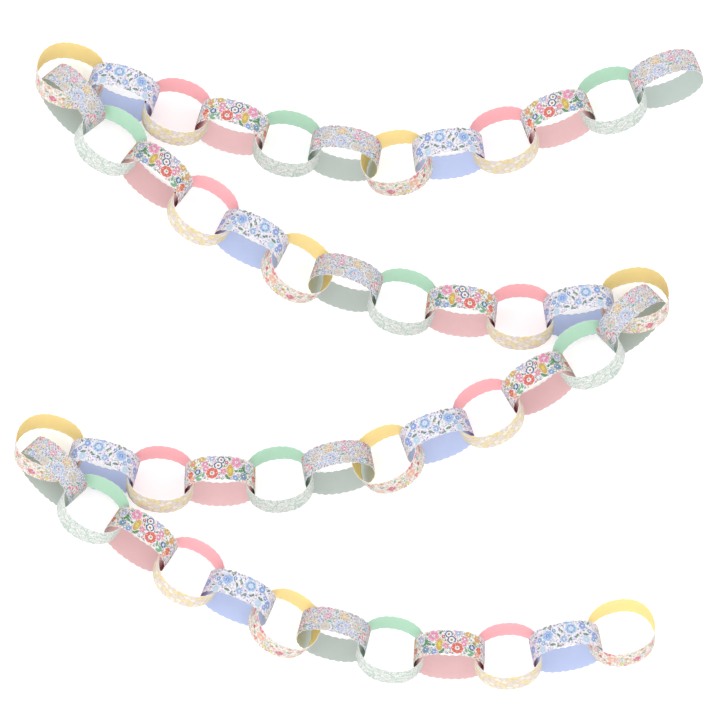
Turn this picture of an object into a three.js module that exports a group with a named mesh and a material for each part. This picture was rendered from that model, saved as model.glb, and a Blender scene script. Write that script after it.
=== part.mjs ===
// A paper chain garland, in millimetres with +Z up. Forty-eight strips of printed paper with
// scalloped edges are each bent into a ring and glued where the ends lap. Each ring passes
// through the next, and the chain lies on a table in four swags that run back and forth.
import * as THREE from "three";

// The strip is 25.4 mm wide and 204 mm long: 28 scallops go once round the ring, and 2 more
// are the glued lap.
const PAPER = 0.3;
const WIDTH = 25.4;
const SCALLOPS = 28;
const LAP = 2;
const SCALLOP_DEPTH = 0.9;

// The neighbours of a ring pull it a little longer along the chain than it is across. Its
// outline is a superellipse, slightly squarer than an ellipse, and all the rings are as long round.
const SQUARENESS = 2.2;
const STANDING_RING = { reach: 33, breadth: 27.4 };
const FLAT_RING = { reach: 31.8, breadth: 28.8 };
const STEP = 0.3;

// How a ring lies, in degrees. Every second link stands on its edge and the others lie flatter,
// and the roll about the run of the chain says which.
const STANDING_ROLL = -118.5;
const FLAT_ROLL = -30;

// The six papers, in the order in which they are linked
const PAPERS = [
  { name: "sage", inside: 0xbccac1, stands: true },
  { name: "mint", inside: 0xb2e0c2, stands: false },
  { name: "rose", inside: 0xe9bcc0, stands: true },
  { name: "coral", inside: 0xfeacb6, stands: false },
  { name: "blue", inside: 0xbccaee, stands: true },
  { name: "yellow", inside: 0xfcd994, stands: false },
];
const FLAT_DROP = 1.8;

// Each swag holds the six papers twice. The shares say how its length is divided between links:
// the chain bunches up on both sides of the middle yellow link.
const LINKS_IN_SWAG = 12;
const SHARES = [1, 1, 1, 1, 0.913, 0.897, 1, 1, 1, 1, 0.969];
const MIDDLE = 6;

// The four swags from above, each a Bezier curve from its first link to its last. side is +1
// where the swag runs towards +X, and taut says how much wider its second half is linked.
const SWAGS = [
  { side: -1, taut: 1, route: [[626, -74], [380, -161], [413, -186], [64.9, -70]] },
  { side: 1, taut: 1.035, route: [[66.8, -92.6], [290, -316], [497, -311], [598, -281.1]] },
  { side: -1, taut: 1.035, route: [[594.8, -298.5], [354, -488], [153, -467], [45.1, -419.8]] },
  { side: 1, taut: 1.035, route: [[48.5, -441.9], [229, -597], [406, -650], [583.9, -594.7]] },
];

// The middle yellow link of a swag twists in the chain, and takes the blue and the sage one on
// its two sides with it. The very last yellow link twists less.
const MIDDLE_LINKS = {
  4: { shift: -0.4, drop: 0.7, lift: 3, roll: 2.9, twist: 1.8, turn: 4.8 },
  5: { shift: -0.9, drop: 4.9, lift: 5, roll: -0.7, twist: 11.5, turn: -1.8 },
  6: { shift: -0.4, drop: 0.1, lift: -0.1, roll: -2.6, twist: -1.4, turn: 0.1 },
};
const END_LINK = { shift: 0, drop: 0, lift: -0.3, roll: 0, twist: 7.2, turn: 3.8 };

// Where one swag turns into the next, the last yellow link lies under the first sage one, and the
// first links of the new swag lie on the old one until the chain is down on the table.
const LAST_LINK = { shift: -1.1, drop: 1, lift: -0.8, roll: -4, twist: 5.7, turn: 2.8 };
const FIRST_LINKS = [
  { shift: 1.1, drop: 1.7, lift: 4.7, roll: 3.7, twist: 9.7, turn: 2.8 },
  { shift: -1.4, drop: 2.9, lift: 10, roll: -3.6, twist: 4.2, turn: 11.7 },
  { lift: 3.4 },
  { lift: 2.2 },
];

// The outline of a ring, half way through the paper, in the plane of the ring
class RingCurve extends THREE.Curve {
  constructor({ reach, breadth }) {
    super();
    this.reach = reach;
    this.breadth = breadth;
    this.arcLengthDivisions = 720;
  }

  getPoint(t, target = new THREE.Vector3()) {
    const angle = 2 * Math.PI * t;
    const along = Math.abs(Math.cos(angle) / this.reach) ** SQUARENESS;
    const across = Math.abs(Math.sin(angle) / this.breadth) ** SQUARENESS;
    const radius = (along + across) ** (-1 / SQUARENESS);
    return target.set(radius * Math.cos(angle), radius * Math.sin(angle), 0);
  }
}

// The stations round a ring: two to a scallop, in the notch and on the tip, and one more at each
// end of the strip, where the lap makes a step. inner and outer are measured from the outline.
function stationsRound(length) {
  const stations = [];
  const lapStart = -LAP / 2 / SCALLOPS;
  for (let k = 0; k < 2 * SCALLOPS; k += 1) {
    const at = lapStart + k / (2 * SCALLOPS);
    const half = k % 2 === 1 ? WIDTH / 2 : WIDTH / 2 - SCALLOP_DEPTH;
    const lapped = k <= 2 * LAP;
    const outer = lapped ? 1.5 * PAPER : 0.5 * PAPER;
    if (k === 0) {
      stations.push({ at: at - STEP / length, half, inner: 0.5 * PAPER, outer });
    }
    stations.push({ at, half, inner: -0.5 * PAPER, outer });
    if (k === 2 * LAP) {
      stations.push({ at: at + STEP / length, half, inner: -0.5 * PAPER, outer: 0.5 * PAPER });
    }
  }
  return stations;
}

// One strip bent into a ring. A lathed band gives the closed wall, and its columns are then moved
// to the stations, so that X is along the chain, Y across it, and Z across the strip.
function ringGeometry(size) {
  const curve = new RingCurve(size);
  const stations = stationsRound(curve.getLength());
  const section = [
    new THREE.Vector2(1, -1),
    new THREE.Vector2(2, -1),
    new THREE.Vector2(2, 1),
    new THREE.Vector2(1, 1),
    new THREE.Vector2(1, -1),
  ];
  const geometry = new THREE.LatheGeometry(section, stations.length);
  const position = geometry.attributes.position;
  for (let index = 0; index < position.count; index += 1) {
    const station = stations[Math.floor(index / section.length) % stations.length];
    const corner = section[index % section.length];
    const share = (station.at + 1) % 1;
    const point = curve.getPointAt(share);
    const tangent = curve.getTangentAt(share);
    const proud = corner.x === 2 ? station.outer : station.inner;
    position.setXYZ(index, point.x + proud * tangent.y, point.y - proud * tangent.x, corner.y * station.half);
  }
  geometry.deleteAttribute("normal");
  geometry.deleteAttribute("uv");
  return geometry;
}

// Where the links of one swag lie: their centres on its route, each turned to the line between
// its two neighbours.
function placesAlong(swag, swagIndex) {
  const curve = new THREE.CubicBezierCurve(...swag.route.map(([x, y]) => new THREE.Vector2(x, y)));
  const shares = SHARES.map((share, gap) => (gap < MIDDLE ? share : share * swag.taut));
  const total = shares.reduce((sum, share) => sum + share, 0);
  const centres = [];
  let run = 0;
  for (let place = 0; place < LINKS_IN_SWAG; place += 1) {
    centres.push(curve.getPointAt(Math.min(run / total, 1)));
    run += shares[place] ?? 0;
  }
  return centres.map((centre, place) => {
    const before = centres[Math.max(place - 1, 0)];
    const after = centres[Math.min(place + 1, LINKS_IN_SWAG - 1)];
    const line = after.clone().sub(before).multiplyScalar(swag.side);
    return { swag, swagIndex, place, centre, heading: line.angle() };
  });
}

// The small ways in which a link leaves the line of its swag: how far it shifts on towards the
// swag's side, drops towards -Y and is lifted, and its roll, twist and turn. The shift, the twist
// and the turn change hands with the side.
function settle({ swagIndex, place }, paper) {
  const easy = { shift: 0, drop: paper.stands ? 0 : FLAT_DROP, lift: 0, roll: 0, twist: 0, turn: 0 };
  if (place === LINKS_IN_SWAG - 1) {
    return swagIndex < SWAGS.length - 1 ? LAST_LINK : END_LINK;
  }
  if (swagIndex > 0 && place < FIRST_LINKS.length) {
    return { ...easy, ...FIRST_LINKS[place] };
  }
  return { ...easy, ...MIDDLE_LINKS[place] };
}

const standingGeometry = ringGeometry(STANDING_RING);
const flatGeometry = ringGeometry(FLAT_RING);
const chain = new THREE.Group();

SWAGS.flatMap(placesAlong).forEach((link, index) => {
  const paper = PAPERS[index % PAPERS.length];
  const { shift, drop, lift, roll, twist, turn } = settle(link, paper);
  const geometry = paper.stands ? standingGeometry : flatGeometry;
  const material = new THREE.MeshStandardMaterial({ color: paper.inside, roughness: 0.85, metalness: 0 });
  const mesh = new THREE.Mesh(geometry, material);
  mesh.name = `link_${String(index + 1).padStart(2, "0")}_${paper.name}`;
  mesh.position.set(link.centre.x + shift * link.swag.side, link.centre.y - drop, lift);
  mesh.rotation.set(
    THREE.MathUtils.degToRad((paper.stands ? STANDING_ROLL : FLAT_ROLL) + roll),
    THREE.MathUtils.degToRad(twist * link.swag.side),
    link.heading + THREE.MathUtils.degToRad(turn * link.swag.side),
    "ZXY",
  );
  chain.add(mesh);
});

// The origin is on the table, under the middle of the whole garland.
const garland = new THREE.Group();
garland.add(chain);
garland.updateMatrixWorld(true);
const bounds = new THREE.Box3().setFromObject(chain, true);
const middle = bounds.getCenter(new THREE.Vector3());
chain.position.set(-middle.x, -middle.y, -bounds.min.z);

export default garland;
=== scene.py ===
"""A paper chain garland: 48 scallop-edged strips of printed card, linked as rings and laid in four swags."""

import math

import bmesh
import bpy
import numpy as np
from mathutils import Matrix, Vector


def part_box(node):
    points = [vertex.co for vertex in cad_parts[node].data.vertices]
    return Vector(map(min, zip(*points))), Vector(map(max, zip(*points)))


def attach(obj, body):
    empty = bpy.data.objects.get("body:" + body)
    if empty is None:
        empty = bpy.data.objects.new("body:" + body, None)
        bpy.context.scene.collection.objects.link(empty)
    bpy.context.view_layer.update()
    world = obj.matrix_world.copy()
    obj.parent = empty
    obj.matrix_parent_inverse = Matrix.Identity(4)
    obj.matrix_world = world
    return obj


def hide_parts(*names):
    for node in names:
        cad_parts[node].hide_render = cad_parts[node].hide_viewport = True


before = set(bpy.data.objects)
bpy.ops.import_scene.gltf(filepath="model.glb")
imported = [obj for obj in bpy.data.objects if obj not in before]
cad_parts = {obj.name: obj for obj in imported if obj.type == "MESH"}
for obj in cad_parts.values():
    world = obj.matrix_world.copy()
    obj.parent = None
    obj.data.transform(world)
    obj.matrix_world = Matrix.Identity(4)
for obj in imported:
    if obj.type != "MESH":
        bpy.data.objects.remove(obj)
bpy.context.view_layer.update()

# ---------------------------------------------------------------------------------------------
# The strips. Every link is one strip of thin card, die-cut with scalloped long edges, bent into
# a ring with the print outside and glued where its ends lap.

MM = 0.001
CARD = 0.3
STRIP_WIDTH = 25.4
SCALLOP_PITCH = 6.8
SCALLOPS = 30
LAPPED_SCALLOPS = 2
SCALLOP_DEPTH = 0.9
STATIONS_PER_SCALLOP = 12
ROWS = 4
SQUARENESS = 2.2
GLUE_GAP = 0.02
LAP_RISE = 4.0
SHARP_EDGE = math.radians(40)

STRIP_LENGTH = SCALLOPS * SCALLOP_PITCH
LAP = LAPPED_SCALLOPS * SCALLOP_PITCH

# The links that stand on edge are pulled longer than those that lie flatter. Each pair is half the
# length of the ring along the chain and half its breadth.
STANDING = (33.0, 27.4)
LYING = (31.8, 28.8)
OUTLINE_STEPS = 1440
TANGENT_REACH = 0.2


def ring_outline(reach, breadth):
    """The middle line of the card round a ring, as distances along it and points."""
    angle = np.linspace(0, 2 * np.pi, OUTLINE_STEPS + 1)
    along = np.abs(np.cos(angle) / reach) ** SQUARENESS
    across = np.abs(np.sin(angle) / breadth) ** SQUARENESS
    radius = (along + across) ** (-1 / SQUARENESS)
    points = np.stack([radius * np.cos(angle), radius * np.sin(angle)], axis=1)
    steps = np.linalg.norm(np.diff(points, axis=0), axis=1)
    return np.concatenate([[0], np.cumsum(steps)]), points


def on_outline(outline, distance):
    """A point of the outline and the direction outwards there."""
    lengths, points = outline
    whole = lengths[-1]

    def at(place):
        return np.array([np.interp(place % whole, lengths, points[:, axis]) for axis in (0, 1)])

    tangent = at(distance + TANGENT_REACH) - at(distance - TANGENT_REACH)
    tangent /= np.linalg.norm(tangent)
    return at(distance), np.array([tangent[1], -tangent[0]])


def cut_strip():
    """A flat strip along X, printed side up, with its middle on the X axis and scalloped edges."""
    strip = bmesh.new()
    print_uv = strip.loops.layers.uv.new("print")
    stations = SCALLOPS * STATIONS_PER_SCALLOP
    bmesh.ops.create_grid(strip, x_segments=stations, y_segments=ROWS, size=0.5)
    bmesh.ops.translate(strip, verts=strip.verts, vec=(0.5, 0, 0))
    bmesh.ops.scale(strip, verts=strip.verts, vec=(STRIP_LENGTH, STRIP_WIDTH, 1))
    nearly_half = 0.49 * STRIP_WIDTH
    for vert in strip.verts:
        if vert.is_boundary and abs(vert.co.y) > nearly_half:
            bump = abs(math.sin(math.pi * vert.co.x / SCALLOP_PITCH))
            vert.co.y -= math.copysign(SCALLOP_DEPTH * (1 - bump), vert.co.y)
    for face in strip.faces:
        face.smooth = True
        for loop in face.loops:
            flat = loop.vert.co
            loop[print_uv].uv = (flat.x / STRIP_LENGTH, 0.5 + flat.y / STRIP_WIDTH)
    return strip


def bend_strip(strip, outline):
    """Bends a flat strip round the outline. Its far end comes to lie on its near end."""
    ring_length = outline[0][-1]
    for vert in strip.verts:
        run, across = vert.co.x, vert.co.y
        rise = min(max((run - (STRIP_LENGTH - LAP - LAP_RISE)) / LAP_RISE, 0), 1)
        proud = (CARD + GLUE_GAP) * rise * rise * (3 - 2 * rise)
        point, outwards = on_outline(outline, (run - LAP / 2) * ring_length / (STRIP_LENGTH - LAP))
        vert.co = (*(point + proud * outwards), across)


def place_of(node):
    """Where a ring of the frame lies: its centre, and its axes along, across and through it."""
    corners = np.array([vert.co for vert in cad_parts[node].data.vertices])
    low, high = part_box(node)
    spread = np.cov((corners - corners.mean(axis=0)).T)
    through, across, along = np.linalg.eigh(spread)[1].T
    along = along if along[0] > 0 else -along
    through = through if through[1] > 0 else -through
    across = np.cross(through, along)
    turn = Matrix((along, across, through)).transposed().to_4x4()
    return Matrix.Translation((low + high) / 2) @ turn


def make_link(node, outline, mirrored, materials):
    """One ring of card in the place of a ring of the frame. The materials are those of its outside,
    its inside and its cut edges."""
    strip = cut_strip()
    bend_strip(strip, outline)
    if mirrored:
        bmesh.ops.scale(strip, verts=strip.verts, vec=(-1, 1, 1))
        bmesh.ops.reverse_faces(strip, faces=strip.faces)
    bmesh.ops.transform(strip, verts=strip.verts, matrix=place_of(node) @ Matrix.Scale(MM, 4))
    mesh = bpy.data.meshes.new(node + "_strip")
    strip.to_mesh(mesh)
    strip.free()
    for material in materials:
        mesh.materials.append(material)
    link = bpy.data.objects.new(node + "_card", mesh)
    bpy.context.scene.collection.objects.link(link)
    thickness = link.modifiers.new("thickness", "SOLIDIFY")
    thickness.thickness = CARD * MM
    thickness.offset = 0
    thickness.material_offset = 1
    thickness.material_offset_rim = 2
    thickened = link.evaluated_get(bpy.context.evaluated_depsgraph_get())
    link.data = bpy.data.meshes.new_from_object(thickened)
    link.modifiers.clear()
    link.data.set_sharp_from_angle(angle=SHARP_EDGE)
    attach(link, "root")
    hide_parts(node)
    return link


# ---------------------------------------------------------------------------------------------
# The card. It is matt uncoated stock: white core, one side flooded with a plain colour, the other
# printed. Both sides show the faint tooth and clouding of the paper, whose grain is given per metre.

LINKS_IN_SWAG = 12
PLAIN_CARD = 0.95
PRINTED_CARD = 0.7
TOOTH_GRAIN = 2600
TOOTH_STRENGTH = 0.12
TOOTH_HEIGHT = 0.1 * MM
SMOOTHEST = 0.72
ROUGHER = 0.2
CLOUD_GRAIN = 160
CLOUDING = 0.06

# Painted shade: where another wall is near, a plain side takes another colour in place of the shade that
# falls there. It is deeper for most papers, and lighter for sage and yellow to offset their real shade. The
# node looks this far for another wall. The painted colour is full where only the first share of that space
# is open, and gone where the second share is.
GAP_REACH = 20 * MM
GAP_CLOSED = 0.16
GAP_OPEN = 0.5


def ink(red, green, blue):
    """A printer's colour, each part from 0 to 255, as linear light."""
    parts = [c / 255 for c in (red, green, blue)]
    linear = [c / 12.92 if c < 0.04045 else ((c + 0.055) / 1.055) ** 2.4 for c in parts]
    return (*linear, 1.0)


def feed(tree, socket, value):
    if isinstance(value, bpy.types.NodeSocket):
        tree.links.new(value, socket)
    else:
        socket.default_value = value


def math_node(tree, operation, *values):
    node = tree.nodes.new("ShaderNodeMath")
    node.operation = operation
    for socket, value in zip(node.inputs, values):
        feed(tree, socket, value)
    return node.outputs[0]


def vector_node(tree, operation, *values):
    node = tree.nodes.new("ShaderNodeVectorMath")
    node.operation = operation
    for socket, value in zip(node.inputs, values):
        feed(tree, socket, value)
    return node.outputs["Vector"]


def noise_node(tree, place, scale, detail):
    node = tree.nodes.new("ShaderNodeTexNoise")
    feed(tree, node.inputs["Vector"], place)
    node.inputs["Scale"].default_value = scale
    node.inputs["Detail"].default_value = detail
    return node.outputs["Fac"]


def mix_node(tree, share, under, over, blend="MIX"):
    node = tree.nodes.new("ShaderNodeMix")
    node.data_type = "RGBA"
    node.blend_type = blend
    feed(tree, node.inputs["Factor"], share)
    feed(tree, node.inputs["A"], under)
    feed(tree, node.inputs["B"], over)
    return node.outputs["Result"]


def new_card(name):
    """A card material with paper tooth, and nothing on it yet."""
    material = bpy.data.materials.new(name)
    material.use_nodes = True
    tree = material.node_tree
    shader = tree.nodes["Principled BSDF"]
    shader.inputs["Specular IOR Level"].default_value = 0.25
    where = tree.nodes.new("ShaderNodeTexCoord").outputs["Object"]
    tooth = noise_node(tree, where, TOOTH_GRAIN, 3)
    bump = tree.nodes.new("ShaderNodeBump")
    bump.inputs["Strength"].default_value = TOOTH_STRENGTH
    bump.inputs["Distance"].default_value = TOOTH_HEIGHT
    feed(tree, bump.inputs["Height"], tooth)
    feed(tree, shader.inputs["Normal"], bump.outputs["Normal"])
    roughness = math_node(tree, "MULTIPLY_ADD", tooth, ROUGHER, SMOOTHEST)
    feed(tree, shader.inputs["Roughness"], roughness)
    return material


def finish_card(material, colour, reflectance):
    """Lays a colour on a card, clouded a little as ink on paper is."""
    tree = material.node_tree
    where = tree.nodes.new("ShaderNodeTexCoord").outputs["Object"]
    cloud = noise_node(tree, where, CLOUD_GRAIN, 4)
    cloud = math_node(tree, "MULTIPLY_ADD", cloud, CLOUDING, reflectance - CLOUDING / 2)
    colour = mix_node(tree, 1.0, colour, cloud, "MULTIPLY")
    feed(tree, tree.nodes["Principled BSDF"].inputs["Base Color"], colour)
    return material


def plain_card(name, colour, gap_shade_paint):
    """A card of one colour, with painted shade in the gap where two walls nearly touch: an ambient-occlusion
    node lays another colour there.
    """
    material = new_card(name)
    tree = material.node_tree
    gap = tree.nodes.new("ShaderNodeAmbientOcclusion")
    gap.samples = 8
    gap.inputs["Distance"].default_value = GAP_REACH
    open_share = tree.nodes.new("ShaderNodeMapRange")
    feed(tree, open_share.inputs["Value"], gap.outputs["AO"])
    open_share.inputs["From Min"].default_value = GAP_CLOSED
    open_share.inputs["From Max"].default_value = GAP_OPEN
    # Painted shade: the gap colour is mixed in where the occlusion node finds another wall near.
    colour = mix_node(tree, open_share.outputs["Result"], gap_shade_paint, colour)
    return finish_card(material, colour, PLAIN_CARD)


# The core's cut edges take painted shade, a darker grey, where two walls nearly touch.
card_core = plain_card("card_core", ink(250, 248, 244), ink(200, 196, 190))


def link_up(paper, size, print_material, inside, gap_shade_paint):
    """Makes the links of one paper. Every second swag is laid with the strips the other way round."""
    outline = ring_outline(*size)
    materials = [print_material, plain_card(paper + "_inside", inside, gap_shade_paint), card_core]
    for node in sorted(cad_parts):
        if node.endswith("_" + paper):
            swag = (int(node.split("_")[1]) - 1) // LINKS_IN_SWAG
            make_link(node, outline, swag % 2 == 1, materials)


# ---------------------------------------------------------------------------------------------
# The printing. Each design is drawn in millimetres on the strip and repeats three times round the
# ring, so that its middle comes out on the side of the ring that shows most. Flowers have a white
# margin, and a faint wobble keeps the outlines from being quite true.

REPEAT = STRIP_LENGTH / 3
SHOWN = 0.75 * (STRIP_LENGTH - LAP) + LAP / 2
WHITE = ink(250, 248, 247)
MARGIN = 1.09
WOBBLE_GRAIN = 0.9
WOBBLE = 1.1
STRAY = 0.8
SMALLEST = 0.7
SIZE_SPREAD = 0.6
EYE_SHARE = 1 / 2.6
STREWN_BLOOM = {"Petals": 5, "Depth": 0.15, "Height": 1.0}


def new_group(name, inputs, outputs):
    group = bpy.data.node_groups.new(name, "ShaderNodeTree")
    for direction, sockets in (("INPUT", inputs), ("OUTPUT", outputs)):
        for socket, kind in sockets:
            group.interface.new_socket(socket, in_out=direction, socket_type="NodeSocket" + kind)
    return group, group.nodes.new("NodeGroupInput").outputs, group.nodes.new("NodeGroupOutput").inputs


def local_place(group, place, centre, repeat):
    """The way from a motif's centre, across the join between two repeats where that is shorter."""
    apart = group.nodes.new("ShaderNodeSeparateXYZ")
    feed(group, apart.inputs[0], vector_node(group, "SUBTRACT", place, centre))
    half = math_node(group, "MULTIPLY", repeat, 0.5)
    minus_half = math_node(group, "MULTIPLY", half, -1.0)
    return math_node(group, "WRAP", apart.outputs["X"], half, minus_half), apart.outputs["Y"]


def bloom_group():
    """How far out a point lies in a flower: 0 in its eye and 1 on the edge of its petals."""
    group, given, result = new_group(
        "bloom",
        [("Place", "Vector"), ("Centre", "Vector"), ("Radius", "Float"), ("Petals", "Float"),
         ("Depth", "Float"), ("Turn", "Float"), ("Height", "Float"), ("Repeat", "Float")],
        [("Out", "Float")],
    )
    x, y = local_place(group, given["Place"], given["Centre"], given["Repeat"])
    y = math_node(group, "DIVIDE", y, given["Height"])
    angle = math_node(group, "ARCTAN2", y, x)
    petal_angle = math_node(group, "MULTIPLY_ADD", angle, given["Petals"], given["Turn"])
    lobes = math_node(group, "COSINE", petal_angle)
    dent = math_node(group, "MULTIPLY", math_node(group, "SUBTRACT", 1.0, lobes), given["Depth"])
    reach = math_node(group, "MULTIPLY", given["Radius"], math_node(group, "SUBTRACT", 1.0, dent))
    y_squared = math_node(group, "MULTIPLY", y, y)
    away = math_node(group, "SQRT", math_node(group, "MULTIPLY_ADD", x, x, y_squared))
    feed(group, result["Out"], math_node(group, "DIVIDE", away, reach))
    return group


def leaf_group():
    """How far out a point lies in a pointed leaf: 0 at its middle and 1 on its edge."""
    group, given, result = new_group(
        "leaf",
        [("Place", "Vector"), ("Centre", "Vector"), ("Radius", "Float"), ("Slim", "Float"),
         ("Turn", "Float"), ("Repeat", "Float")],
        [("Out", "Float")],
    )
    x, y = local_place(group, given["Place"], given["Centre"], given["Repeat"])
    apart = group.nodes.new("ShaderNodeCombineXYZ")
    feed(group, apart.inputs["X"], x)
    feed(group, apart.inputs["Y"], y)
    turned = group.nodes.new("ShaderNodeVectorRotate")
    turned.rotation_type = "Z_AXIS"
    feed(group, turned.inputs["Vector"], apart.outputs[0])
    feed(group, turned.inputs["Angle"], math_node(group, "MULTIPLY", given["Turn"], -1.0))
    shares = group.nodes.new("ShaderNodeSeparateXYZ")
    feed(group, shares.inputs[0], turned.outputs[0])
    along = math_node(group, "DIVIDE", shares.outputs["X"], given["Radius"])
    width = math_node(group, "MULTIPLY", given["Radius"], given["Slim"])
    across = math_node(group, "ABSOLUTE", math_node(group, "DIVIDE", shares.outputs["Y"], width))
    feed(group, result["Out"], math_node(group, "MULTIPLY_ADD", along, along, across))
    return group


def scatter_group():
    """Strews motifs: the way from the nearest one, and three numbers that are its own."""
    group, given, result = new_group(
        "scatter",
        [("Place", "Vector"), ("Shift", "Vector"), ("Per mm", "Float")],
        [("Away", "Vector"), ("Own", "Color")],
    )
    cells = group.nodes.new("ShaderNodeTexVoronoi")
    cells.voronoi_dimensions = "2D"
    shifted = vector_node(group, "ADD", given["Place"], given["Shift"])
    feed(group, cells.inputs["Vector"], shifted)
    feed(group, cells.inputs["Scale"], given["Per mm"])
    cells.inputs["Randomness"].default_value = STRAY
    feed(group, result["Away"], vector_node(group, "SUBTRACT", shifted, cells.outputs["Position"]))
    feed(group, result["Own"], cells.outputs["Color"])
    return group


GROUPS = {"bloom": bloom_group(), "leaf": leaf_group(), "scatter": scatter_group()}


class Print:
    """One printed design, built up motif by motif on its ground colour."""

    def __init__(self, name, ground):
        self.material = new_card(name)
        self.tree = self.material.node_tree
        self.colour = ground
        on_strip = self.tree.nodes.new("ShaderNodeUVMap")
        on_strip.uv_map = "print"
        in_mm = self.tree.nodes.new("ShaderNodeMapping")
        in_mm.inputs["Location"].default_value = (-SHOWN, -STRIP_WIDTH / 2, 0)
        in_mm.inputs["Scale"].default_value = (STRIP_LENGTH, STRIP_WIDTH, 1)
        feed(self.tree, in_mm.inputs["Vector"], on_strip.outputs["UV"])
        wobble = noise_node(self.tree, in_mm.outputs["Vector"], WOBBLE_GRAIN, 1)
        drift = math_node(self.tree, "MULTIPLY_ADD", wobble, WOBBLE, -WOBBLE / 2)
        self.place = vector_node(self.tree, "ADD", in_mm.outputs["Vector"], drift)

    def group(self, kind, **values):
        node = self.tree.nodes.new("ShaderNodeGroup")
        node.node_tree = GROUPS[kind]
        for name, value in values.items():
            feed(self.tree, node.inputs[name.replace("_", " ")], value)
        return node.outputs

    def stamp(self, out, rings, where=None):
        """Prints rings of colour from the eye of a motif out: each colour starts at its share."""
        ramp = self.tree.nodes.new("ShaderNodeValToRGB")
        ramp.color_ramp.interpolation = "CONSTANT"
        stops = ramp.color_ramp.elements
        stops[0].color = rings[0][1]
        stops[1].position = 0.999
        stops[1].color = (*rings[-1][1][:3], 0.0)
        for start, colour in rings[1:]:
            stops.new(start).color = colour
        feed(self.tree, ramp.inputs["Fac"], out)
        share = ramp.outputs["Alpha"]
        if where is not None:
            share = math_node(self.tree, "MULTIPLY", share, where)
        self.colour = mix_node(self.tree, share, self.colour, ramp.outputs["Color"])

    def bloom(self, x, y, radius, rings, petals=5, depth=0.1, turn=0.0, height=1.0):
        """Prints one flower, with a clear margin round it."""
        out = self.group("bloom", Place=self.place, Centre=(x, y, 0), Radius=radius * MARGIN,
                         Petals=petals, Depth=depth, Turn=turn, Height=height, Repeat=REPEAT)
        petal_rings = [(start / MARGIN, colour) for start, colour in rings]
        self.stamp(out["Out"], petal_rings + [(1 / MARGIN, WHITE)])

    def leaf(self, x, y, length, degrees, colour, slim=0.42, repeat=REPEAT):
        """Prints one pointed leaf."""
        out = self.group("leaf", Place=self.place, Centre=(x, y, 0), Radius=length, Slim=slim,
                         Turn=math.radians(degrees), Repeat=repeat)
        self.stamp(out["Out"], [(0, colour)])

    def strew(self, kind, every, radius, colours, shift, share=1.0, eye=None, slim=0.4):
        """Strews small motifs, about one to a square of the given side. They take the colours by
        chance, and only the given share of them is printed."""
        spots = self.group("scatter", Place=self.place, Shift=(*shift, 0), Per_mm=1 / every)
        own = self.tree.nodes.new("ShaderNodeSeparateColor")
        feed(self.tree, own.inputs[0], spots["Own"])
        turn = math_node(self.tree, "MULTIPLY", own.outputs["Green"], 2 * math.pi)
        size = math_node(self.tree, "MULTIPLY_ADD", own.outputs["Blue"],
                         SIZE_SPREAD * radius, SMALLEST * radius)
        shape = STREWN_BLOOM if kind == "bloom" else {"Slim": slim}
        out = self.group(kind, Place=spots["Away"], Centre=(0, 0, 0), Radius=size, Turn=turn,
                         Repeat=REPEAT, **shape)
        inks = self.tree.nodes.new("ShaderNodeValToRGB")
        inks.color_ramp.interpolation = "CONSTANT"
        stops = inks.color_ramp.elements
        stops[0].color = colours[0]
        stops[1].position = share
        stops[1].color = (*colours[-1][:3], 0.0 if share < 1 else 1.0)
        for number, colour in enumerate(colours[1:], 1):
            stops.new(share * number / len(colours)).color = colour
        feed(self.tree, inks.inputs["Fac"], own.outputs["Red"])
        inside = math_node(self.tree, "LESS_THAN", out["Out"], 1.0)
        shown = math_node(self.tree, "MULTIPLY", inside, inks.outputs["Alpha"])
        self.colour = mix_node(self.tree, shown, self.colour, inks.outputs["Color"])
        if eye is not None:
            from_eye = math_node(self.tree, "MULTIPLY", out["Out"], 1 / EYE_SHARE)
            self.stamp(from_eye, [(0, eye)], inks.outputs["Alpha"])

    def lace(self, every, width, colour, shift):
        """A net of fine lines between cells of the given size."""
        cells = self.tree.nodes.new("ShaderNodeTexVoronoi")
        cells.voronoi_dimensions = "2D"
        cells.feature = "DISTANCE_TO_EDGE"
        cells.inputs["Scale"].default_value = 1 / every
        feed(self.tree, cells.inputs["Vector"], vector_node(self.tree, "ADD", self.place, (*shift, 0)))
        self.stamp(math_node(self.tree, "DIVIDE", cells.outputs["Distance"], width / every), [(0, colour)])

    def done(self):
        """The finished material."""
        return finish_card(self.material, self.colour, PRINTED_CARD)


# ---------------------------------------------------------------------------------------------
# Sage links. The print is a dense garden of small flowers on lilac white, with a yellow and a
# large blue flower in the middle. The inside is a plain grey green.

LILAC_WHITE = ink(232, 231, 236)
SLATE = ink(126, 136, 168)
SAGE_LEAF = ink(124, 174, 152)
BLUSH = ink(236, 172, 192)
STRAW = ink(232, 200, 138)
OATMEAL = ink(218, 208, 198)
CLOUD_BLUE = ink(164, 186, 224)
POPPY = ink(228, 126, 140)

sage_print = Print("sage_print", LILAC_WHITE)
sage_print.strew("leaf", 1.9, 1.2, [SLATE, ink(190, 190, 214), SLATE, ink(206, 196, 206)],
                 (3, 8), 0.9, slim=0.4)
sage_print.strew("leaf", 2.6, 1.5, [SAGE_LEAF, ink(176, 186, 214), ink(150, 190, 176), SLATE],
                 (9, 2), 0.6)
sage_print.strew("bloom", 3.3, 1.4, [BLUSH, CLOUD_BLUE, STRAW, ink(204, 202, 234)],
                 (11, 5), 0.75, eye=WHITE)
sage_print.bloom(-19.1, 1.8, 6.3, [(0, STRAW), (0.2, ink(214, 200, 190)), (0.36, OATMEAL)], 7, 0.08)
sage_print.bloom(10.3, -7.9, 5.6, [(0, STRAW), (0.2, ink(216, 204, 196)), (0.36, OATMEAL)], 8, 0.08)
sage_print.bloom(-14.0, -7.2, 2.9, [(0, WHITE), (0.35, ink(196, 198, 240))])
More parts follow.
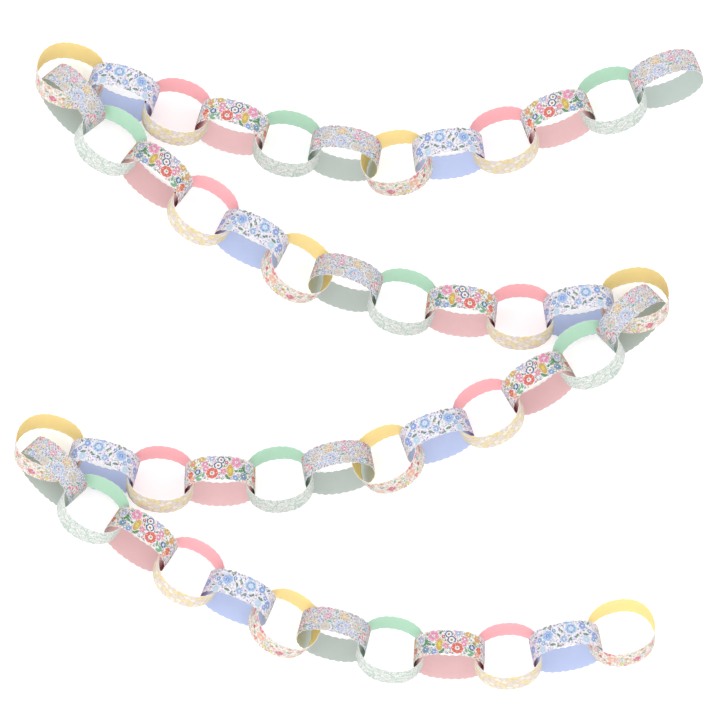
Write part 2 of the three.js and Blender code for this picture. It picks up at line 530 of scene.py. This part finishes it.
sage_print.bloom(24.0, -10.4, 3.4, [(0, WHITE), (0.3, CLOUD_BLUE)])
sage_print.bloom(-4.7, -4.2, 6.6, [(0, ink(172, 112, 108)), (0.12, WHITE), (0.2, BLUSH), (0.27, WHITE),
                                   (0.36, ink(178, 196, 228)), (0.66, ink(190, 206, 236))], 7, 0.12, 0.6)
sage_print.bloom(-4.7, 6.3, 4.7, [(0, ink(246, 232, 190)), (0.3, ink(238, 202, 150)), (0.7, STRAW)], 7, 0.14)
sage_print.bloom(9.6, 3.3, 4.2, [(0, WHITE), (0.22, POPPY), (0.42, BLUSH)], 6, 0.12)
sage_print.bloom(9.3, 12.2, 3.3, [(0, WHITE), (0.2, POPPY)])
sage_print.bloom(19.0, 9.6, 3.2, [(0, WHITE), (0.25, BLUSH)])
sage_print.bloom(32.0, 10.4, 3.3, [(0, STRAW), (0.25, POPPY)])
sage_print.bloom(-31.4, -3.4, 5.0, [(0, SAGE_LEAF), (0.18, WHITE), (0.5, ink(238, 140, 148))], 6, 0.07)
sage_print.bloom(-25.4, -6.6, 1.9, [(0, POPPY)])
for x, y, radius in ((21.5, 2.7, 2.3), (23.4, -2.1, 2.0), (28.4, -0.7, 2.7), (19.3, -5.1, 2.2)):
    sage_print.bloom(x, y, radius, [(0, WHITE), (0.35, STRAW)], 5, 0.12, x)
for x, y, length, degrees in ((31.0, -6.7, 4.6, 6), (7.7, -2.4, 3.0, -20), (-28.8, 3.4, 3.2, -30),
                              (2.6, 9.5, 2.6, -70)):
    sage_print.leaf(x, y, length, degrees, SAGE_LEAF)
sage_print.strew("leaf", 1.5, 0.72, [ink(118, 128, 160), WHITE, ink(150, 156, 178), ink(120, 150, 138)],
                 (5, 5), 0.8, slim=0.4)
sage_print.lace(3.1, 0.16, LILAC_WHITE, (7, 3))
# The last colour is painted light: a lighter sage laid in the gaps between walls to offset the real shade
# there.
link_up("sage", STANDING, sage_print.done(), ink(188, 198, 193), ink(204, 214, 208))

# ---------------------------------------------------------------------------------------------
# Mint links. The print is of fine pale green leaves and stems on white, with white blossoms, a net
# of grey-green lines and a little pink here and there. The inside is a plain fresh mint.

MIST_GREEN = ink(176, 212, 194)
GREY_GREEN = ink(190, 206, 198)
PALE_MINT = ink(218, 234, 225)
PALE_PINK = ink(244, 226, 224)

mint_print = Print("mint_print", ink(244, 246, 243))
mint_print.strew("leaf", 1.5, 1.25, [MIST_GREEN, PALE_MINT, GREY_GREEN, PALE_MINT],
                 (2, 4), 0.9, slim=0.45)
mint_print.strew("leaf", 3.1, 2.6, [GREY_GREEN, MIST_GREEN, PALE_PINK], (7, 9), 0.8, slim=0.2)
mint_print.strew("bloom", 5.4, 2.5, [WHITE, ink(250, 245, 243)], (9, 2), 0.8, eye=PALE_MINT)
mint_print.strew("leaf", 2.2, 0.9, [GREY_GREEN, PALE_PINK, MIST_GREEN], (1, 5), 0.6, slim=0.28)
mint_print.lace(7.0, 0.22, GREY_GREEN, (6, 1))
# The last colour is painted shade: a deep green laid in the gaps between walls.
link_up("mint", LYING, mint_print.done(), ink(184, 222, 198), ink(30, 110, 66))

# ---------------------------------------------------------------------------------------------
# Rose links. The print has the boldest flowers: a coral ring flower low in the middle, two navy
# ringed ones above it, pinks, mustards and strong green leaves. The inside is a dusty pink.

CORAL_RED = ink(222, 110, 98)
NAVY = ink(88, 114, 156)
ROSE_PINK = ink(230, 146, 178)
MUSTARD = ink(214, 178, 96)
APRICOT = ink(240, 168, 132)
BRIGHT_LEAF = ink(92, 150, 104)
MINT_LEAF = ink(128, 184, 146)
DUSK_BLUE = ink(130, 156, 184)
BARK = ink(164, 108, 56)

rose_print = Print("rose_print", WHITE)
rose_print.strew("leaf", 2.2, 1.4, [ink(110, 136, 132), BRIGHT_LEAF, ink(206, 190, 150), MINT_LEAF],
                 (7, 1), 0.8)
rose_print.strew("bloom", 3.4, 1.3, [ROSE_PINK, APRICOT, DUSK_BLUE, ink(190, 176, 206)],
                 (1, 14), 0.75, eye=WHITE)
for x, y, length, degrees in ((23.0, 1.6, 3.8, 70), (20.6, -1.0, 3.0, 20), (25.2, -1.2, 3.0, -30),
                              (7.9, -9.6, 3.6, -45), (16.0, -2.5, 2.2, 40), (9.6, 9.4, 2.4, -35)):
    rose_print.leaf(x, y, length, degrees, BRIGHT_LEAF, 0.5)
for x, y, length, degrees in ((-20.4, -7.6, 3.2, 20), (-19.0, -10.6, 3.0, -10), (-15.2, -6.8, 2.8, 70)):
    rose_print.leaf(x, y, length, degrees, MINT_LEAF, 0.5)
rose_print.bloom(-6.8, 9.6, 2.9, [(0, WHITE), (0.3, ink(176, 184, 222))])
rose_print.bloom(28.7, 4.4, 3.6, [(0, WHITE), (0.25, ink(186, 188, 224))])
rose_print.bloom(23.6, -6.2, 4.1, [(0, WHITE), (0.2, ink(96, 132, 150)), (0.4, DUSK_BLUE)], 6)
rose_print.bloom(15.2, -9.8, 3.2, [(0, WHITE), (0.25, ink(142, 166, 216))])
rose_print.bloom(-26.3, 7.6, 4.1, [(0, ROSE_PINK), (0.3, APRICOT), (0.5, MUSTARD)], 6, 0.12)
rose_print.bloom(-16.6, 9.6, 3.5, [(0, WHITE), (0.25, MUSTARD)], 5, 0.12)
rose_print.bloom(-23.4, 2.2, 2.0, [(0, ink(180, 150, 60))])
rose_print.bloom(-13.2, 4.4, 3.4, [(0, WHITE), (0.3, ROSE_PINK)], 5, 0.1, 1.0)
rose_print.bloom(-12.5, -0.6, 3.2, [(0, WHITE), (0.3, ROSE_PINK)])
rose_print.bloom(1.8, 8.0, 3.8, [(0, BARK), (0.3, WHITE), (0.66, NAVY)], 6, 0.04)
rose_print.bloom(-1.0, 2.3, 4.3, [(0, BARK), (0.28, WHITE), (0.66, NAVY)], 6, 0.04, 1.5)
rose_print.bloom(-20.7, -2.6, 3.3, [(0, ink(214, 230, 244)), (0.5, NAVY)], 6, 0.05)
rose_print.bloom(-6.5, -5.6, 5.9, [(0, ink(108, 140, 96)), (0.18, WHITE), (0.38, CORAL_RED),
                                   (0.72, ink(234, 118, 106))], 8, 0.04)
rose_print.bloom(4.0, -4.0, 3.5, [(0, ink(250, 226, 150)), (0.24, ROSE_PINK)], 5, 0.17)
rose_print.bloom(10.2, -2.6, 3.4, [(0, ink(238, 214, 92)), (0.4, MUSTARD)], 2, 0.04, 3.1, 1.9)
rose_print.bloom(15.9, 6.8, 5.6, [(0, ink(150, 170, 150)), (0.1, WHITE), (0.27, ROSE_PINK),
                                  (0.6, ink(240, 156, 190))], 5, 0.1, 0.3)
rose_print.bloom(7.0, 5.6, 2.0, [(0, WHITE), (0.3, ink(204, 62, 112))], 5, 0.15)
rose_print.bloom(-29.2, -3.2, 4.1, [(0, MUSTARD), (0.25, ink(232, 112, 96))], 6)
rose_print.bloom(-27.0, -8.4, 3.1, [(0, WHITE), (0.25, APRICOT)])
rose_print.strew("leaf", 1.9, 0.7, [WHITE, ink(206, 190, 176), ink(176, 190, 184), WHITE],
                 (5, 5), 0.6, slim=0.36)
# The last colour is painted shade: a dark brown laid in the gaps between walls.
link_up("rose", STANDING, rose_print.done(), ink(227, 189, 191), ink(120, 58, 48))

# ---------------------------------------------------------------------------------------------
# Coral links. The print is a close lace of small yellow leaves, with leaf-shaped gaps in three rows.
# The gaps slope up and down by turns, are pale lilac, white or pale lemon, and repeat more often than
# the other designs. The inside is a plain coral pink.

LEMON = ink(241, 218, 150)
PALE_LEMON = ink(248, 233, 192)
OLIVE_GOLD = ink(228, 204, 130)
PALE_LILAC = ink(238, 228, 244)
TRELLIS = REPEAT / 3
COLUMNS = 4
ROW_HEIGHT = 7.4
SLOPE = 28

coral_print = Print("coral_print", ink(251, 241, 224))
coral_print.strew("leaf", 1.6, 1.3, [LEMON, PALE_LEMON, LEMON, ink(250, 232, 206)],
                  (5, 2), 0.8, slim=0.42)
for row in (-1, 0, 1):
    for column in range(COLUMNS):
        x = column * TRELLIS / COLUMNS
        y = ROW_HEIGHT * row + (2.6 if column % 2 else -1.2)
        slope = SLOPE if (column + row) % 2 else -SLOPE
        gap_ink = (PALE_LILAC, WHITE, PALE_LEMON)[(column + 2 * row) % 3]
        coral_print.leaf(x, y, 5.0, slope, OLIVE_GOLD, 0.5, TRELLIS)
        coral_print.leaf(x, y, 4.3, slope, gap_ink, 0.5, TRELLIS)
coral_print.strew("leaf", 2.3, 0.9, [LEMON, ink(240, 230, 240), OLIVE_GOLD], (1, 6), 0.5, slim=0.3)
# The last colour is painted shade: a deep red laid in the gaps between walls.
link_up("coral", LYING, coral_print.done(), ink(250, 185, 190), ink(196, 40, 58))

# ---------------------------------------------------------------------------------------------
# Blue links. The print is of blue flowers of several sizes, dark green leaves and fine lilac sprigs
# on white. The inside is a plain periwinkle blue.

SKY = ink(158, 188, 232)
PERIWINKLE = ink(138, 168, 226)
BUD_BLUE = ink(192, 218, 242)
FOREST = ink(120, 150, 130)
INK_DOT = ink(104, 118, 156)
SPRIG = ink(228, 204, 232)

blue_print = Print("blue_print", ink(248, 247, 252))
blue_print.lace(6.4, 0.22, SPRIG, (2, 2))
blue_print.strew("bloom", 3.4, 0.9, [SPRIG, ink(206, 198, 240), ink(238, 214, 230)], (4, 7), 0.75)
blue_print.strew("bloom", 2.6, 0.9, [ink(222, 206, 226), ink(196, 204, 230), ink(232, 220, 224)],
                 (1, 3), 0.7)
blue_print.strew("leaf", 3.4, 1.3, [FOREST, ink(150, 172, 150), ink(180, 190, 210)],
                 (13, 6), 0.6, slim=0.34)
blue_print.strew("bloom", 4.4, 0.7, [INK_DOT, ink(150, 124, 140)], (6, 12), 0.6)
for x, y, length, degrees in ((2.7, 4.3, 2.8, 35), (5.3, 0.2, 2.6, 62), (-11.3, -3.6, 2.8, -62),
                              (-4.4, -6.0, 2.6, -48), (12.4, -7.7, 3.2, 14), (6.5, -10.8, 2.8, 16),
                              (11.5, 10.4, 2.8, -62), (16.8, 11.2, 2.6, -20), (-20.4, -2.2, 3.4, 8),
                              (27.8, -5.2, 2.4, 0), (-19.6, 10.0, 2.8, 60), (21.4, 5.4, 2.0, 20),
                              (28.4, 6.2, 2.2, 10), (-25.0, 9.6, 2.4, -40)):
    blue_print.leaf(x, y, length, degrees, FOREST)
blue_print.bloom(-4.8, 12.4, 4.1, [(0, WHITE), (0.2, SKY)])
blue_print.bloom(-18.2, 6.6, 3.7, [(0, ink(226, 236, 250)), (0.25, ink(140, 168, 226))])
blue_print.bloom(-31.0, -2.3, 4.5, [(0, WHITE), (0.2, ink(150, 172, 228))], 6)
blue_print.bloom(-27.6, -6.6, 2.9, [(0, WHITE), (0.25, PERIWINKLE)])
blue_print.bloom(-24.8, 1.4, 2.7, [(0, WHITE), (0.25, PERIWINKLE)])
blue_print.bloom(-19.8, -7.4, 4.1, [(0, ink(236, 232, 206)), (0.25, BUD_BLUE)], 6)
blue_print.bloom(23.4, -9.2, 3.8, [(0, ink(236, 232, 206)), (0.25, BUD_BLUE)])
blue_print.bloom(1.2, -4.8, 3.5, [(0, ink(250, 244, 210)), (0.25, SKY)], 5, 0.1, 0.4)
WREATH = (-6.9, 4.4)
DOTS = 7
DOT_RING = 3.7
blue_print.bloom(*WREATH, 6.0, [(0, PERIWINKLE), (0.12, ink(214, 230, 248)), (0.42, SKY),
                                (0.8, BUD_BLUE)], 8, 0.07)
for dot in range(DOTS):
    angle = 2 * math.pi * (dot + 0.3) / DOTS
    x = WREATH[0] + DOT_RING * math.cos(angle)
    y = WREATH[1] + DOT_RING * math.sin(angle)
    blue_print.bloom(x, y, 0.62, [(0, INK_DOT)], 1, 0)
blue_print.bloom(15.6, 2.6, 5.6, [(0, ink(226, 222, 248)), (0.14, ink(118, 154, 224)), (0.34, SKY),
                                  (0.7, ink(172, 200, 238))], 8, 0.07)
blue_print.bloom(9.0, 5.8, 2.1, [(0, WHITE), (0.3, ink(118, 158, 208))])
blue_print.bloom(24.6, 1.6, 2.8, [(0, WHITE), (0.25, ink(146, 178, 226))])
blue_print.bloom(21.2, -3.2, 2.6, [(0, WHITE), (0.25, ink(146, 186, 228))])
blue_print.bloom(31.0, 3.4, 2.7, [(0, WHITE), (0.25, ink(190, 180, 232))])
blue_print.strew("leaf", 1.9, 0.7, [WHITE, ink(196, 208, 232), ink(236, 226, 236)], (5, 5), 0.6, slim=0.36)
# The last colour is painted shade: a deep violet blue laid in the gaps between walls.
link_up("blue", STANDING, blue_print.done(), ink(190, 203, 237), ink(128, 138, 196))

# ---------------------------------------------------------------------------------------------
# Yellow links. The print has red and magenta tulips, a peach flower and grey-green sprigs on cream
# white. The inside is a plain warm yellow.

TULIP = ink(234, 128, 138)
MAGENTA = ink(222, 120, 152)
PEACH = ink(243, 196, 166)
SPRIG_GREEN = ink(156, 190, 176)
SAND = ink(228, 206, 132)

yellow_print = Print("yellow_print", ink(253, 247, 242))
yellow_print.strew("leaf", 2.3, 1.5,
                   [SPRIG_GREEN, ink(156, 170, 164), ink(196, 214, 202), ink(234, 204, 200)],
                   (9, 3), 0.75, slim=0.34)
yellow_print.strew("bloom", 3.9, 1.4, [ink(240, 200, 196), SAND, ink(236, 160, 160)], (2, 10), 0.7)
for x, y, length, degrees in ((0.0, 6.0, 3.0, 70), (8.0, 3.4, 2.6, -30), (31.0, 6.5, 3.2, 80),
                              (24.0, -3.5, 3.0, 75), (-14.0, 1.0, 3.2, 40), (-22.0, 6.0, 3.0, -50),
                              (-28.0, -4.0, 3.0, 60)):
    yellow_print.leaf(x, y, length, degrees, SPRIG_GREEN)
yellow_print.bloom(16.5, 1.4, 5.6, [(0, ink(250, 226, 190)), (0.3, ink(246, 182, 166)), (0.6, PEACH)],
                   6, 0.08)
yellow_print.bloom(-12.2, 9.0, 3.1, [(0, ink(206, 172, 142)), (0.6, PEACH)], 3, 0.15)
yellow_print.bloom(20.6, 10.8, 4.1, [(0, ink(248, 196, 196)), (0.3, TULIP)], 3, 0.14, 0.5)
yellow_print.bloom(32.0, 11.4, 3.5, [(0, ink(248, 196, 196)), (0.3, MAGENTA)], 3, 0.14, 2.0)
yellow_print.bloom(-7.2, -4.4, 4.4, [(0, TULIP), (0.45, MAGENTA)], 4, 0.12, 0.8)
yellow_print.bloom(19.6, -7.4, 2.8, [(0, WHITE), (0.2, TULIP)], 3, 0.14)
yellow_print.bloom(28.4, 0.2, 2.7, [(0, ink(200, 78, 90))], 3, 0.2, 1.0)
yellow_print.bloom(-26.0, 3.0, 3.7, [(0, ink(248, 196, 196)), (0.3, TULIP)], 3, 0.14, 1.5)
yellow_print.bloom(0.4, -8.4, 2.6, [(0, WHITE), (0.3, SAND)])
yellow_print.bloom(7.8, -7.4, 3.1, [(0, WHITE), (0.25, ink(234, 216, 140))])
yellow_print.bloom(2.8, 1.2, 2.0, [(0, ink(206, 166, 90))])
yellow_print.bloom(-19.0, -8.0, 3.2, [(0, WHITE), (0.25, PEACH)])
yellow_print.strew("leaf", 1.7, 0.75, [WHITE, SPRIG_GREEN, ink(250, 236, 226), ink(238, 194, 188)],
                   (5, 5), 0.75, slim=0.36)
# The last colour is painted light: a paler yellow laid in the gaps between walls to offset the real shade
# there.
link_up("yellow", LYING, yellow_print.done(), ink(252, 227, 157), ink(255, 236, 172))

# ---------------------------------------------------------------------------------------------
# The studio: a white table that glows a little, as a light table does, one large soft lamp overhead
# and white walls all round.

TABLE_SIZE = 8.0
TABLE_WHITE = (0.95, 0.95, 0.95, 1)
TABLE_GLOW = 0.14
WALL_LIGHT = 1.245
LAMP_WATTS = 18
LAMP_PLACE = Vector((-0.3, -0.5, 2.2))

table = bmesh.new()
bmesh.ops.create_grid(table, x_segments=1, y_segments=1, size=TABLE_SIZE / 2)
table_mesh = bpy.data.meshes.new("table")
table.to_mesh(table_mesh)
table.free()
table_top = bpy.data.objects.new("table", table_mesh)
bpy.context.scene.collection.objects.link(table_top)
table_paint = bpy.data.materials.new("table_paint")
table_paint.use_nodes = True
table_shader = table_paint.node_tree.nodes["Principled BSDF"]
table_shader.inputs["Base Color"].default_value = TABLE_WHITE
table_shader.inputs["Roughness"].default_value = 0.9
table_shader.inputs["Emission Color"].default_value = (1.0, 1.0, 1.0, 1)
table_shader.inputs["Emission Strength"].default_value = TABLE_GLOW
table_mesh.materials.append(table_paint)

walls = bpy.data.worlds.new("walls")
walls.use_nodes = True
walls.node_tree.nodes["Background"].inputs["Color"].default_value = (1.0, 1.0, 1.0, 1)
walls.node_tree.nodes["Background"].inputs["Strength"].default_value = WALL_LIGHT
bpy.context.scene.world = walls

lamp_light = bpy.data.lights.new("soft_lamp", "AREA")
lamp_light.shape = "SQUARE"
lamp_light.size = 2.4
lamp_light.energy = LAMP_WATTS
lamp = bpy.data.objects.new("soft_lamp", lamp_light)
lamp.location = LAMP_PLACE
lamp.rotation_euler = (-LAMP_PLACE).to_track_quat("-Z", "Y").to_euler()
bpy.context.scene.collection.objects.link(lamp)

bpy.context.scene.view_settings.view_transform = "Standard"

# The camera looks straight down on the table, a little off the middle of the garland.
VIEW_WIDTH = 676.8 * MM
VIEW_CENTRE = Vector((1.3, 5.3, 30.0)) * MM
camera_data = bpy.data.cameras.new("camera")
camera_data.sensor_width = 36
camera_data.lens = 300
camera_data.clip_end = 100
camera = bpy.data.objects.new("camera", camera_data)
camera.location = VIEW_CENTRE + Vector((0, 0, VIEW_WIDTH * camera_data.lens / camera_data.sensor_width))
bpy.context.scene.collection.objects.link(camera)
bpy.context.scene.camera = camera
